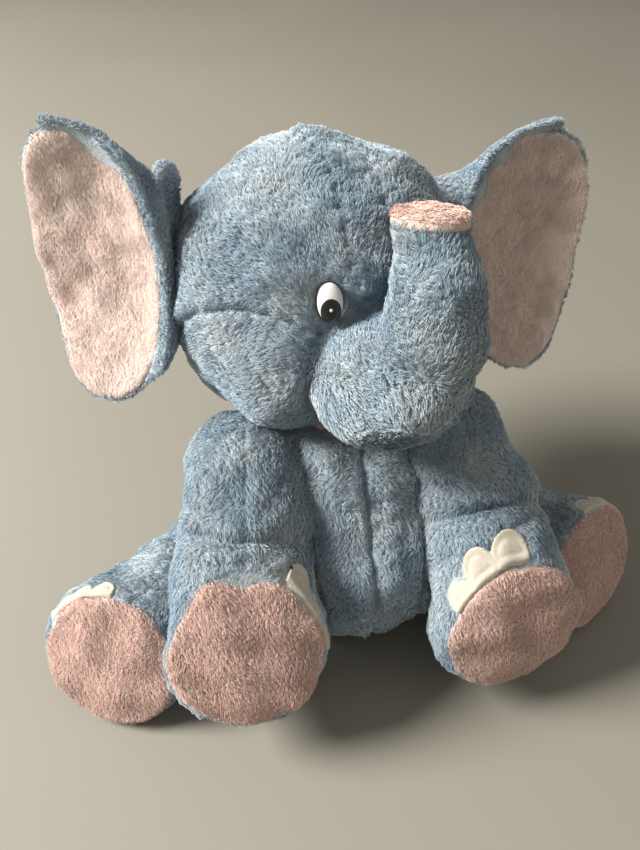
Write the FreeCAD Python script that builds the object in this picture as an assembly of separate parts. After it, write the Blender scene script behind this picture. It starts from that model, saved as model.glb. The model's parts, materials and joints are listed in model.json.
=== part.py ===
import FreeCAD, Part

import math
import os

from FreeCAD import Placement, Rotation, Vector

# A sitting stuffed elephant.  Millimetres, +Z up, face towards -Y, origin under the middle of the
# body on the table.  "right" and "left" are the elephant's own: right is -X and left is +X.

# ---- driving dimensions ----
PLUSH = 2.4            # cover fabric with its pile pressed flat
FELT = 1.0             # toe felt
GAP = 0.25             # between two neighbouring pieces of one body
CLEARANCE = 0.9        # between two bodies that move against each other
FAR = 300.0            # reach of the cutting blocks, well past the toy

TORSO_CENTRE = Vector(0, 5, 59)
TORSO_LEAN = 26.0      # degrees back from upright
HIP_BALL_RADIUS = 58.0     # the torso is two balls, hips and chest, with the cone between
HIP_BALL_DROP = 10.0
CHEST_BALL_RADIUS = 50.0
CHEST_BALL_RISE = 23.0
BELLY_PANEL_HALF_WIDTH = 28.0
SEAT_PANEL_HEIGHT = 7.0

HEAD_CENTRE = Vector(-9, 60, 160)
HEAD_RADIUS = 69.0
HEAD_YAW = 14.0        # degrees towards the elephant's left
HEAD_TILT = 25.0       # degrees face up
HEAD_ROLL = 8.0        # degrees, left ear down
CROWN_HALF_WIDTH = 9.0
CHEEK_SEAM_DROP = 22.0

NECK_RADIUS = 20.0
NECK_DEPTH = 9.0
NECK_LEAN = 22.0       # degrees back from upright, the axis that the head turns about
NECK_OUTER = HEAD_RADIUS + 1.6
NECK_OPENING = 1.62    # opening in the head over the neck's own width, which leaves room to nod

TRUNK_ROOT_RADIUS = 23.0
TRUNK_BEND_RADIUS = 21.5
TRUNK_END_RADIUS = 13.5
TRUNK_END_CUT = 6.0    # the tip pad's plane past the last ball's centre

EYE_HALF_WIDTH = 5.6
EYE_HALF_HEIGHT = 8.4
EYE_STEM_RADIUS = 2.2
EYE_STEM_LENGTH = 12.0
EYE_POCKET_RADIUS = 9.4
EYE_RIM_WIDTH = 0.6
EYE_RIM_HEIGHT = 1.4
EYE_DOME_RADIUS = 14.0
EYE_DOME_HEIGHT = 4.6
EYE_WASHER_RADIUS = 7.6
EYE_WASHER_THICKNESS = 2.0
EYE_WASHER_DEPTH = 6.0
PUPIL_RADIUS = 4.4
PUPIL_STRETCH = 1.15   # its height over its width
PUPIL_THICKNESS = 0.5
PUPIL_DROP = 3.0

LIP_RADIUS = 4.5
LIP_HALF_WIDTH = 9.0
LIP_SINK = 4.0         # the roll's centre line under the head's surface
LIP_DROP = 0.93        # how far down the face it runs, as a share of the head's radius
MOUTH_THICKNESS = 2.0
MOUTH_RADIUS = 13.0

SHOULDER_RADIUS = 25.5
ELBOW_RADIUS = 27.0
HAND_RADIUS = 33.5
LEG_RADIUS = 25.0
FOOT_RADIUS = 32.5
SOLE_DEPTH = 10.0      # the end ball's centre behind the sole
TAIL_RADII = (5.5, 4.5, 6.5)

EAR_HALF_LENGTH = 60.0
EAR_HALF_WIDTH = 32.0
EAR_BOWL_RADIUS = 80.0
EAR_FABRIC = 1.8
EAR_WADDING = 3.0
EAR_SEAM_HALF_LENGTH = 28.0
EAR_SEAM_HALF_WIDTH = 5.0
EAR_FLANGE_OFFSET = 13.0   # where the root meets the cup, inward of the cup's middle
EAR_FLANGE_OVERLAP = 5.0
EAR_CLEARANCE = 1.2        # between the ear and the head, all through the ear's flap

TOE_RADIUS = 6.4
TOE_SPREAD = 22.0      # degrees between neighbouring toes round the foot
SOLE_THICKNESS = 2.2

PELLET_BAG_CENTRE = Vector(0, -5, 22)
PELLET_BAG_RADIUS = 27.0
PELLET_BAG_HALF_HEIGHT = 12.0

X_AXIS = Vector(1, 0, 0)
Y_AXIS = Vector(0, 1, 0)
Z_AXIS = Vector(0, 0, 1)
SEAM_LINE_TURN = 37.0      # degrees that turns a cone's own seam line away from the cutting planes
OFF_GRID = Rotation(Vector(1, 2, 3), 71)


# ---- placing things ----
def unit(vector):
    return Vector(vector).normalize()


def leaning_axis(degrees):
    lean = math.radians(degrees)
    return Vector(0, math.sin(lean), math.cos(lean))


def neck_axis():
    return leaning_axis(NECK_LEAN)


HEAD_TURN = (
    Rotation(Z_AXIS, HEAD_YAW)
    .multiply(Rotation(X_AXIS, -HEAD_TILT))
    .multiply(Rotation(Y_AXIS, HEAD_ROLL))
)
HEAD_FRAME = Placement(HEAD_CENTRE, HEAD_TURN)
HEAD_SIDEWAYS = HEAD_TURN.multVec(X_AXIS)


def on_head(x, y, z):
    """A point given in the head's own upright frame, face towards -Y."""
    return HEAD_FRAME.multVec(Vector(x, y, z))


def moved(shape, placement):
    placed = shape.copy()
    placed.Placement = placement.multiply(placed.Placement)
    return placed


def turned(shape, pivot, axis, degrees):
    placed = shape.copy()
    placed.rotate(pivot, axis, degrees)
    return placed


# ---- shapes ----
def revolved(outline):
    """Turn a closed outline, drawn in the XZ plane beside the Z axis, into a solid."""
    solid = Part.Face(Part.Wire(outline)).revolve(Vector(), Z_AXIS, 360)
    if solid.ShapeType != "Solid":
        solid = solid.Solids[0]
    if solid.Volume < 0:
        solid.reverse()
    return solid


def ball(centre, radius):
    """A sphere whose own poles and seam line lie off every cutting plane of the toy."""
    return moved(Part.makeSphere(radius), Placement(centre, OFF_GRID))


def lens(centre, half_height, radius):
    """A flat round cushion, the space shared by two balls one above the other."""
    ball_radius = (radius ** 2 + half_height ** 2) / (2 * half_height)
    offset = Z_AXIS * (ball_radius - half_height)
    return ball(centre + offset, ball_radius).common(ball(centre - offset, ball_radius))


def taper(start, start_radius, end, end_radius):
    """Two balls with the cone that touches both, as one solid."""
    axis = end - start
    length = axis.Length
    slope = math.asin((start_radius - end_radius) / length)

    def on_circle(height, radius, angle):
        return Vector(radius * math.cos(angle), 0, height + radius * math.sin(angle))

    bottom = on_circle(0, start_radius, -math.pi / 2)
    low = on_circle(0, start_radius, slope)
    high = on_circle(length, end_radius, slope)
    top = on_circle(length, end_radius, math.pi / 2)
    low_middle = on_circle(0, start_radius, (slope - math.pi / 2) / 2)
    high_middle = on_circle(length, end_radius, (slope + math.pi / 2) / 2)
    solid = revolved([
        Part.Arc(bottom, low_middle, low).toShape(),
        Part.makeLine(low, high),
        Part.Arc(high, high_middle, top).toShape(),
        Part.makeLine(top, bottom),
    ])
    spin = Rotation(Z_AXIS, SEAM_LINE_TURN)
    return moved(solid, Placement(start, Rotation(Z_AXIS, axis).multiply(spin)))


def stuffed_tube(stations, inset=0.0):
    """A soft limb through (centre, radius) stations; a negative inset makes it fatter."""
    parts = [
        taper(a, ra - inset, b, rb - inset)
        for (a, ra), (b, rb) in zip(stations[:-1], stations[1:])
    ]
    return parts[0].multiFuse(parts[1:]) if len(parts) > 1 else parts[0]


def half_space(point, normal):
    """Everything on the side that the normal points to, as a big block."""
    block = Part.makeBox(2 * FAR, 2 * FAR, FAR, Vector(-FAR, -FAR, 0))
    return moved(block, Placement(Vector(point), Rotation(Z_AXIS, Vector(normal))))


def plate(point, normal, thickness, start=0.0):
    """A wide plate whose near face is start past the point."""
    block = Part.makeBox(2 * FAR, 2 * FAR, thickness, Vector(-FAR, -FAR, start))
    return moved(block, Placement(Vector(point), Rotation(Z_AXIS, Vector(normal))))


def seam(point, normal):
    return plate(point, normal, GAP, -GAP / 2)


def oval_prism(frame, half_width, half_height, low, high):
    """An oval bar along the frame's Z axis, half_width along its X and half_height along its Y."""
    if half_width >= half_height:
        ellipse = Part.Ellipse(Vector(half_width, 0, low), Vector(0, half_height, low), Vector(0, 0, low))
    else:
        ellipse = Part.Ellipse(Vector(0, half_height, low), Vector(half_width, 0, low), Vector(0, 0, low))
    face = Part.Face(Part.Wire([ellipse.toShape()]))
    return moved(face.extrude(Vector(0, 0, high - low)), frame)


def swept(shape, pivot, axis, angles):
    """Copies of a moving shape through its joint's range, for cutting room in its neighbour."""
    return [turned(shape, pivot, axis, angle) for angle in angles]


def room_for(stations, axis, limits, grow=0.0):
    """The space a limb needs as it turns about its first station, with the moving clearance."""
    pivot = stations[0][0]
    middle = Rotation(axis, (limits[0] + limits[1]) / 2)
    spread = math.sin(math.radians((limits[1] - limits[0]) / 2))
    return stuffed_tube([
        (
            pivot + middle.multVec(place - pivot),
            radius + CLEARANCE + grow + spread * (place - pivot).Length,
        )
        for place, radius in stations
    ])


def carve(shape, tools):
    for tool in tools:
        shape = shape.cut(tool)
    return shape


def biggest(shape):
    return max(shape.Solids, key=lambda solid: solid.Volume)


def on_side(shape, point, normal):
    """The solids of a split shape whose middle lies on the normal's side of the point."""
    return [s for s in shape.Solids if (s.CenterOfMass - Vector(point)).dot(Vector(normal)) > 0]


# ---- joints: pivot, axis and range, shared by the shapes that leave room for them ----
SHOULDER = {"right": Vector(-50, -2, 98), "left": Vector(44, 0, 100)}
HIP = {"right": Vector(-49, 24, 32), "left": Vector(43, 24, 32)}
TAIL_ROOT = Vector(0, 56, 32)
TRUNK_ROOT = on_head(2, -42, -24)
TRUNK_BEND = on_head(9, -80, -30)

RANGES = {
    "arm": (-1, 22),
    "leg": (-1, 25),
    "tail": (-25, 25),
    "trunk": (-8, 4),
    "curl": (-20, 3),
    "nod": (-4, 10),
    "turn": (-20, 12),
    "ear_right": (-12, 8),
    "ear_left": (-12, 8),
}
EAR_SWING = 12.0       # degrees that the head leaves room for, to either side
RAISE_AXIS = Vector(-1, 0, 0)
SPREAD_AXIS = {"right": Vector(0, 0, -1), "left": Vector(0, 0, 1)}


def steps(low, high, count=3):
    return [low + (high - low) * i / (count - 1) for i in range(count)]


# ---- limbs ----
ELBOW = {"right": Vector(-58, -28, 80), "left": Vector(56, -27.4, 78.6)}
HAND_SOLE = {"right": Vector(-61, -73, 60), "left": Vector(62, -74, 51)}
HAND_NORMAL = {"right": unit(Vector(-0.03, -0.87, 0.50)), "left": unit(Vector(0.10, -0.95, 0.28))}
KNEE = {"right": Vector(-86, -4, 29), "left": Vector(82, 0, 29)}
FOOT_SOLE = {"right": Vector(-126, -47, 33), "left": Vector(123, -38, 33)}
FOOT_NORMAL = {"right": unit(Vector(-0.35, -0.78, 0.50)), "left": unit(Vector(0.45, -0.78, 0.42))}
TOE_TURN = {
    ("arm", "right"): 62.0,
    ("arm", "left"): -25.0,
    ("leg", "right"): -35.0,
    ("leg", "left"): 35.0,
}


def arm_stations(side):
    end = HAND_SOLE[side] - HAND_NORMAL[side] * SOLE_DEPTH
    return [(SHOULDER[side], SHOULDER_RADIUS), (ELBOW[side], ELBOW_RADIUS), (end, HAND_RADIUS)]


def leg_stations(side):
    end = FOOT_SOLE[side] - FOOT_NORMAL[side] * SOLE_DEPTH
    return [(HIP[side], LEG_RADIUS), (KNEE[side], LEG_RADIUS), (end, FOOT_RADIUS)]


def toes(stations, sole, normal, turn):
    """Three round felt patches on the limb, side by side next to the sole."""
    layer = stuffed_tube(stations[1:], -GAP - FELT).cut(stuffed_tube(stations[1:], -GAP))
    layer = layer.cut(half_space(sole - normal * GAP, normal))
    layer = layer.common(half_space(Vector(0, 0, GAP), Z_AXIS))
    upward = unit(Z_AXIS - normal * normal.z)
    sideways = unit(upward.cross(normal))
    centre = stations[-1][0]
    patches = []
    for step in (-1, 0, 1):
        angle = math.radians(turn + step * TOE_SPREAD)
        outward = upward * math.cos(angle) + sideways * math.sin(angle)
        punch = Part.makeCylinder(TOE_RADIUS, 2 * stations[-1][1], centre, outward)
        patches.append(biggest(layer.common(punch).cut(stuffed_tube(stations[:2], -GAP))))
    return Part.makeCompound(patches)


def limb(kind, side, stations, sole, normal):
    """The pieces of one arm or leg: two sleeve panels, filling, sole and toes."""
    past_sole = half_space(sole, normal)
    past_filling = half_space(sole - normal * GAP, normal)
    above_table = half_space(Vector(0, 0, 0), Z_AXIS)
    above_cover = half_space(Vector(0, 0, PLUSH), Z_AXIS)
    above_filling = half_space(Vector(0, 0, PLUSH + GAP), Z_AXIS)
    skin = stuffed_tube(stations).common(above_table)
    inside = stuffed_tube(stations, PLUSH).common(above_cover)
    sleeve = skin.cut(inside).cut(past_sole)
    filling = stuffed_tube(stations, PLUSH + GAP).common(above_filling).cut(past_filling)
    root = stations[0][0]
    along = sole - root
    across = unit(Z_AXIS.cross(along))
    halves = sleeve.cut(seam(root, across))
    outward = across if across.dot(X_AXIS) * (1 if side == "left" else -1) > 0 else across * -1
    name = f"{kind}_{side}"
    return {
        f"{name}_outer_panel": biggest(Part.makeCompound(on_side(halves, root, outward))),
        f"{name}_inner_panel": biggest(Part.makeCompound(on_side(halves, root, outward * -1))),
        f"{name}_filling": biggest(filling),
        f"{name}_sole": biggest(skin.common(plate(sole, normal, SOLE_THICKNESS, GAP))),
        f"{name}_toes": toes(stations, sole, normal, TOE_TURN[kind, side]),
    }


def arms():
    nodes = {}
    for side in ("right", "left"):
        nodes.update(limb("arm", side, arm_stations(side), HAND_SOLE[side], HAND_NORMAL[side]))
    return nodes


def legs():
    nodes = {}
    for side in ("right", "left"):
        nodes.update(limb("leg", side, leg_stations(side), FOOT_SOLE[side], FOOT_NORMAL[side]))
    return nodes


# ---- tail ----
def tail_stations():
    return list(zip((TAIL_ROOT, Vector(0, 78, 20), Vector(1, 90, 9)), TAIL_RADII))


def tail():
    stations = tail_stations()
    sewn_end = half_space(TAIL_ROOT, TAIL_ROOT - stations[1][0])
    cover = stuffed_tube(stations).cut(stuffed_tube(stations, PLUSH))
    return {
        "tail_cover": biggest(cover.cut(sewn_end)),
        "tail_filling": biggest(stuffed_tube(stations, PLUSH + GAP).cut(sewn_end)),
    }


# ---- torso ----
def torso_room(grow):
    """What the torso leaves free: the head's ball, the lowered trunk, the limbs and the tail."""
    room = [ball(HEAD_CENTRE, NECK_OUTER + CLEARANCE + grow)]
    for side in ("right", "left"):
        for stations, axis, limits in (
            (arm_stations(side), RAISE_AXIS, RANGES["arm"]),
            (leg_stations(side), SPREAD_AXIS[side], RANGES["leg"]),
        ):
            room.append(room_for(stations[:2], axis, limits, grow))
            nearest = turned(stuffed_tube(stations[1:], -CLEARANCE - grow), stations[0][0], axis, limits[0])
            room.append(nearest)
    lowered = turned(trunk_base_skin(-CLEARANCE - grow), TRUNK_ROOT, HEAD_SIDEWAYS, -RANGES["trunk"][0])
    nodded = turned(lowered, HEAD_CENTRE, HEAD_SIDEWAYS, -RANGES["nod"][0])
    room += swept(nodded, HEAD_CENTRE, neck_axis(), steps(*RANGES["turn"]))
    return room + [ball(TAIL_ROOT, tail_stations()[0][1] + CLEARANCE + grow)]


def torso():
    axis = leaning_axis(TORSO_LEAN)
    front = Vector(0, -math.cos(math.radians(TORSO_LEAN)), math.sin(math.radians(TORSO_LEAN)))

    hips = TORSO_CENTRE - axis * HIP_BALL_DROP
    chest = TORSO_CENTRE + axis * CHEST_BALL_RISE

    def egg(inset):
        whole = taper(hips, HIP_BALL_RADIUS - inset, chest, CHEST_BALL_RADIUS - inset)
        return whole.common(half_space(Vector(0, 0, inset), Z_AXIS))

    cover = carve(egg(0).cut(egg(PLUSH)), torso_room(0))
    seat_line = Vector(0, 0, SEAT_PANEL_HEIGHT)
    split = cover.cut(seam(seat_line, Z_AXIS))
    seat = biggest(Part.makeCompound(on_side(split, seat_line, Z_AXIS * -1)))
    upper = Part.makeCompound(on_side(split, seat_line, Z_AXIS))
    belly_block = half_space(TORSO_CENTRE, front)
    narrow = plate(Vector(), X_AXIS, 2 * BELLY_PANEL_HALF_WIDTH, -BELLY_PANEL_HALF_WIDTH)
    wide = plate(Vector(), X_AXIS, 2 * BELLY_PANEL_HALF_WIDTH + 2 * GAP, -BELLY_PANEL_HALF_WIDTH - GAP)
    belly = upper.common(belly_block).common(narrow).cut(seam(Vector(), X_AXIS))
    back_block = half_space(TORSO_CENTRE - front * GAP, front)
    back = upper.cut(back_block.common(wide)).cut(seam(Vector(), X_AXIS))
    filling = carve(egg(PLUSH + GAP), torso_room(GAP))
    bag = lens(PELLET_BAG_CENTRE, PELLET_BAG_HALF_HEIGHT, PELLET_BAG_RADIUS)
    bag_room = lens(PELLET_BAG_CENTRE, PELLET_BAG_HALF_HEIGHT + GAP, PELLET_BAG_RADIUS + 2 * GAP)
    under_bag = Vector(0, PELLET_BAG_CENTRE.y, 0)
    bag_well = Part.makeCylinder(PELLET_BAG_RADIUS / 2, PELLET_BAG_CENTRE.z, under_bag)

    def side_of(shape, sign):
        return biggest(Part.makeCompound(on_side(shape, Vector(), X_AXIS * sign)))

    return {
        "torso_belly_right": side_of(belly, -1),
        "torso_belly_left": side_of(belly, 1),
        "torso_back_right": side_of(back, -1),
        "torso_back_left": side_of(back, 1),
        "torso_seat_panel": seat,
        "torso_filling": biggest(carve(filling, [bag_room, bag_well])),
        "seat_pellet_bag": bag,
    }


# ---- neck ----
def neck_core(radius):
    return Part.makeCylinder(radius, FAR, HEAD_CENTRE, neck_axis() * -1)


def neck():
    """A short stuffed plug between two spheres round the head's centre, so that it never binds."""
    plug = ball(HEAD_CENTRE, NECK_OUTER).cut(ball(HEAD_CENTRE, NECK_OUTER - NECK_DEPTH))
    return {"neck_filling": biggest(plug.common(neck_core(NECK_RADIUS)))}


def neck_opening(grow):
    inner = NECK_OUTER - NECK_DEPTH - CLEARANCE - grow
    return neck_core(NECK_RADIUS * NECK_OPENING + grow).cut(ball(HEAD_CENTRE, inner))


# ---- eyes ----
EYE_PLACE = {"right": Vector(-18, -63, 2), "left": Vector(18, -63, 2)}


def eye_frame(side):
    """Origin on the head's surface, Z out of the head, Y up the face."""
    outward = unit(HEAD_TURN.multVec(EYE_PLACE[side]))
    upward = HEAD_TURN.multVec(Z_AXIS)
    upward = unit(upward - outward * upward.dot(outward))
    return Placement(
        HEAD_CENTRE + outward * (HEAD_RADIUS - GAP),
        Rotation(upward.cross(outward), upward, outward, "ZYX"),
    )


def eye_pocket(side):
    """One round pocket behind the eye, for its rim, stem and washer."""
    pocket = Part.makeCylinder(EYE_POCKET_RADIUS, 2 * EYE_STEM_LENGTH, Vector(0, 0, -EYE_STEM_LENGTH - GAP))
    return moved(pocket, eye_frame(side))


def eye(side):
    frame = eye_frame(side)
    rim = oval_prism(
        frame, EYE_HALF_WIDTH + EYE_RIM_WIDTH, EYE_HALF_HEIGHT + EYE_RIM_WIDTH, -PLUSH, EYE_RIM_HEIGHT
    )
    stem = moved(Part.makeCylinder(EYE_STEM_RADIUS, EYE_STEM_LENGTH, Vector(0, 0, -EYE_STEM_LENGTH)), frame)
    above_rim = EYE_RIM_HEIGHT + GAP
    dome_centre = Vector(0, 0, EYE_DOME_HEIGHT - EYE_DOME_RADIUS)
    white = oval_prism(frame, EYE_HALF_WIDTH, EYE_HALF_HEIGHT, above_rim, EYE_DOME_RADIUS)
    pupil = oval_prism(frame, PUPIL_RADIUS, PUPIL_RADIUS * PUPIL_STRETCH, above_rim, EYE_DOME_RADIUS)
    pupil.translate(frame.Rotation.multVec(Vector(0, -PUPIL_DROP, 0)))
    washer = Part.makeCylinder(EYE_WASHER_RADIUS, EYE_WASHER_THICKNESS, Vector(0, 0, -EYE_WASHER_DEPTH))
    washer_hole = Part.makeCylinder(EYE_STEM_RADIUS + GAP, FAR, Vector(0, 0, -FAR / 2))

    def dome(grow):
        return moved(ball(dome_centre, EYE_DOME_RADIUS + grow), frame)

    return {
        f"eye_base_{side}": biggest(rim.fuse(stem)),
        f"eye_white_{side}": biggest(white.common(dome(0))),
        f"pupil_{side}": biggest(pupil.common(dome(0.1 + PUPIL_THICKNESS)).cut(dome(0.1))),
        f"eye_washer_{side}": moved(washer.cut(washer_hole), frame),
    }


# ---- mouth ----
MOUTH_ABOVE = Vector(0, -39, -56)


def lip_tube(grow=0.0):
    """The lower lip, a short roll across the chin."""
    centre_radius = HEAD_RADIUS - LIP_SINK
    height = -LIP_DROP * centre_radius
    depth = -math.sqrt(centre_radius ** 2 - height ** 2)
    ends = [on_head(x, depth, height) for x in (-LIP_HALF_WIDTH, 0, LIP_HALF_WIDTH)]
    return stuffed_tube([(p, LIP_RADIUS) for p in ends], -grow)


def mouth_lining_shape(grow=0.0):
    outward = unit(HEAD_TURN.multVec(MOUTH_ABOVE))
    layer = ball(HEAD_CENTRE, HEAD_RADIUS + grow).cut(ball(HEAD_CENTRE, HEAD_RADIUS - MOUTH_THICKNESS - grow))
    return layer.common(Part.makeCylinder(MOUTH_RADIUS + grow, FAR, HEAD_CENTRE, outward))


def mouth():
    lining = carve(mouth_lining_shape(), [lip_tube(GAP)] + trunk_room(0))
    return {
        "mouth_lining": biggest(lining),
        "lower_lip": biggest(carve(lip_tube(), [neck_opening(GAP)] + trunk_room(0))),
    }


# ---- trunk ----
def trunk_base_stations():
    return [
        (TRUNK_ROOT, TRUNK_ROOT_RADIUS),
        (on_head(6, -64, -33), 24.5),
        (TRUNK_BEND, TRUNK_BEND_RADIUS),
    ]


def trunk_tip_stations():
    return [
        (TRUNK_BEND, TRUNK_BEND_RADIUS - 0.5),
        (on_head(14, -90, -14), 17.5),
        (on_head(16, -93, 4), 15.0),
        (on_head(16, -90, 22), TRUNK_END_RADIUS),
    ]


def trunk_base_skin(inset=0.0):
    return stuffed_tube(trunk_base_stations(), inset)


def trunk_room(grow):
    """The trunk's base through its lift, as the head must leave room for it."""
    return [room_for(trunk_base_stations(), HEAD_SIDEWAYS * -1, RANGES["trunk"], grow)]


def split_trunk(shape, names, place):
    halves = shape.cut(seam(place, HEAD_SIDEWAYS))
    right = on_side(halves, place, HEAD_SIDEWAYS * -1)
    left = on_side(halves, place, HEAD_SIDEWAYS)
    return {
        names[0]: biggest(Part.makeCompound(right)),
        names[1]: biggest(Part.makeCompound(left)),
    }


def trunk():
    cover = trunk_base_skin().cut(trunk_base_skin(PLUSH))
    nodes = split_trunk(cover, ("trunk_right_panel", "trunk_left_panel"), trunk_base_stations()[1][0])
    nodes["trunk_filling"] = biggest(trunk_base_skin(PLUSH + GAP))
    return nodes


def trunk_tip():
    stations = trunk_tip_stations()
    end, before = stations[-1][0], stations[-2][0]
    direction = unit(end - before)
    pad_place = end + direction * TRUNK_END_CUT
    room = swept(trunk_base_skin(-CLEARANCE), TRUNK_BEND, HEAD_SIDEWAYS, steps(*RANGES["curl"]))
    socket = [ball(TRUNK_BEND, TRUNK_BEND_RADIUS + CLEARANCE)] + room
    skin = stuffed_tube(stations)
    past_pad = half_space(pad_place, direction)
    past_filling = half_space(pad_place - direction * GAP, direction)
    cover = carve(skin.cut(stuffed_tube(stations, PLUSH)), [past_pad] + socket)
    filling = carve(stuffed_tube(stations, PLUSH + GAP), [past_filling] + socket)
    nodes = split_trunk(cover, ("trunk_tip_right_panel", "trunk_tip_left_panel"), stations[2][0])
    nodes["trunk_tip_filling"] = biggest(filling)
    nodes["trunk_tip_pad"] = biggest(skin.common(plate(pad_place, direction, SOLE_THICKNESS, GAP)))
    return nodes


# ---- head ----
def head():
    sideways = HEAD_SIDEWAYS

    def skull(inset):
        return ball(HEAD_CENTRE, HEAD_RADIUS - inset)

    def room(grow):
        tools = [neck_opening(grow), lip_tube(GAP + grow), mouth_lining_shape(GAP + grow)]
        return tools + trunk_room(grow) + [eye_pocket(side) for side in ("right", "left")]

    upward = HEAD_TURN.multVec(Z_AXIS)
    cover = carve(skull(0).cut(skull(PLUSH)), room(0))
    filling = carve(skull(PLUSH + GAP), room(GAP))
    cheek_line = on_head(0, 0, -CHEEK_SEAM_DROP)
    split = cover.cut(seam(cheek_line, upward))
    upper = Part.makeCompound(on_side(split, cheek_line, upward))
    lower = Part.makeCompound(on_side(split, cheek_line, upward * -1))
    sides = carve(upper, [seam(on_head(x, 0, 0), sideways) for x in (-CROWN_HALF_WIDTH, CROWN_HALF_WIDTH)])
    cheeks = lower.cut(seam(HEAD_CENTRE, sideways))
    band = plate(on_head(0, 0, 0), sideways, 2 * CROWN_HALF_WIDTH, -CROWN_HALF_WIDTH)

    def piece(shape, x, sign):
        return biggest(Part.makeCompound(on_side(shape, on_head(x, 0, 0), sideways * sign)))

    return {
        "head_side_right": piece(sides, -CROWN_HALF_WIDTH, -1),
        "head_side_left": piece(sides, CROWN_HALF_WIDTH, 1),
        "head_crown_gusset": biggest(sides.common(band)),
        "cheek_right": piece(cheeks, 0, -1),
        "cheek_left": piece(cheeks, 0, 1),
        "head_filling": biggest(filling),
    }


# ---- ears ----
EAR_CENTRE = {"right": Vector(-101, 63, 179), "left": Vector(97, 73, 161)}
EAR_OPENING = {"right": unit(Vector(-0.41, -0.85, 0.32)), "left": unit(Vector(0.25, -0.90, 0.36))}
EAR_UP = {"right": Vector(-0.118, 0.403, 0.907), "left": Vector(0.228, 0.395, 0.890)}
EAR_ROOT = {"right": on_head(-66, 14, 12), "left": on_head(66, 14, 12)}


def ear(side):
    """A cupped oval ear: outer fabric with the root that is sewn to the head, wadding and lining."""
    opening = EAR_OPENING[side]
    facing = Rotation(EAR_UP[side].cross(opening), EAR_UP[side], opening, "ZYX")
    frame = Placement(EAR_CENTRE[side], facing)
    cup_centre = EAR_CENTRE[side] + opening * EAR_BOWL_RADIUS
    oval = oval_prism(frame, EAR_HALF_WIDTH, EAR_HALF_LENGTH, -FAR / 4, FAR / 4)
    radii = [EAR_BOWL_RADIUS]
    for thickness in (EAR_FABRIC, GAP, EAR_WADDING, GAP, EAR_FABRIC):
        radii.append(radii[-1] + thickness)

    head_ball = ball(HEAD_CENTRE, HEAD_RADIUS + EAR_CLEARANCE)
    head_room = swept(head_ball, EAR_ROOT[side], EAR_UP[side], steps(-EAR_SWING, EAR_SWING))

    def layer(inner, outer):
        return ball(cup_centre, radii[outer]).cut(ball(cup_centre, radii[inner])).common(oval)

    inward = unit(opening.cross(EAR_UP[side])) * (-1 if side == "right" else 1)
    back = EAR_CENTRE[side] + inward * EAR_FLANGE_OFFSET - opening * (radii[4] - EAR_BOWL_RADIUS)
    reach = back - EAR_ROOT[side]
    flange_frame = Placement(
        EAR_ROOT[side], Rotation(reach.cross(EAR_UP[side]) * -1, EAR_UP[side], reach, "ZYX")
    )
    flange = oval_prism(
        flange_frame,
        EAR_SEAM_HALF_WIDTH,
        EAR_SEAM_HALF_LENGTH,
        -EAR_SEAM_HALF_LENGTH,
        reach.Length + EAR_FLANGE_OVERLAP,
    )
    flange = flange.cut(ball(cup_centre, radii[4]))
    outer = carve(layer(4, 5).fuse(biggest(flange)), head_room)
    return {
        f"ear_{side}_lining": biggest(carve(layer(0, 1), head_room)),
        f"ear_{side}_wadding": biggest(carve(layer(2, 3), head_room)),
        f"ear_{side}_outer": biggest(outer),
    }


# ---- the whole toy ----
def build():
    nodes = {}
    for section in (torso, neck, head, mouth, trunk, trunk_tip, arms, legs, tail):
        nodes.update(section())
    for side in ("right", "left"):
        nodes.update(eye(side))
        nodes.update(ear(side))
    return nodes


os.makedirs("parts", exist_ok=True)
for node_name, node_shape in build().items():
    node_shape.exportStep(f"parts/{node_name}.step")
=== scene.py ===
"""A sitting stuffed elephant: soft sewn skins with real pile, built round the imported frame.

Shapes are worked out in millimetres as signed distance fields, meshed closed, and grown with strands
of pile.
"""

import json
import math

import bpy
import numpy as np
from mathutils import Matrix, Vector


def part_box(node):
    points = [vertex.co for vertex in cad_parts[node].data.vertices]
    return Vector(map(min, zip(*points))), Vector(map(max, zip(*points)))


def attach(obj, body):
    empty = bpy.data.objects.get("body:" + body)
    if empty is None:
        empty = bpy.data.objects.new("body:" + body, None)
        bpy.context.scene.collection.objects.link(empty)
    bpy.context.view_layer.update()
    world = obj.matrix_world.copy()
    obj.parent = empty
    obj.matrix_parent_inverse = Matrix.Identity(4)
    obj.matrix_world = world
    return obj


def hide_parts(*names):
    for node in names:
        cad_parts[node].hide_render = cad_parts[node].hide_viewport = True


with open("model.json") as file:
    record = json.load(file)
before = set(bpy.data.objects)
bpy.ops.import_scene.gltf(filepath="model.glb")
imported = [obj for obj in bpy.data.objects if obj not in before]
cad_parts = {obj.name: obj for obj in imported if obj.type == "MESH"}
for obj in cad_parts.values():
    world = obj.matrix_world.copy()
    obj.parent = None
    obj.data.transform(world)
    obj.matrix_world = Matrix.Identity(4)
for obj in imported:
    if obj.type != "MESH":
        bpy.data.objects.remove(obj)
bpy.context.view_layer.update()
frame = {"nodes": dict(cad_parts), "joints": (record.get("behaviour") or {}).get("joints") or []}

MM = 0.001
GRID = 1.3  # spacing of the meshes' points
PILE_SHARE = 1.0  # share of the strands that are grown
STRAND_POINTS = 4
Z_AXIS = np.array([0.0, 0.0, 1.0])
SIDES = {"right": -1.0, "left": 1.0}
NO_SEAM = 1e3  # the distance given where a seam does not run
TABLE_GAP = 0.2  # the soft skins stop this far above the table

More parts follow.
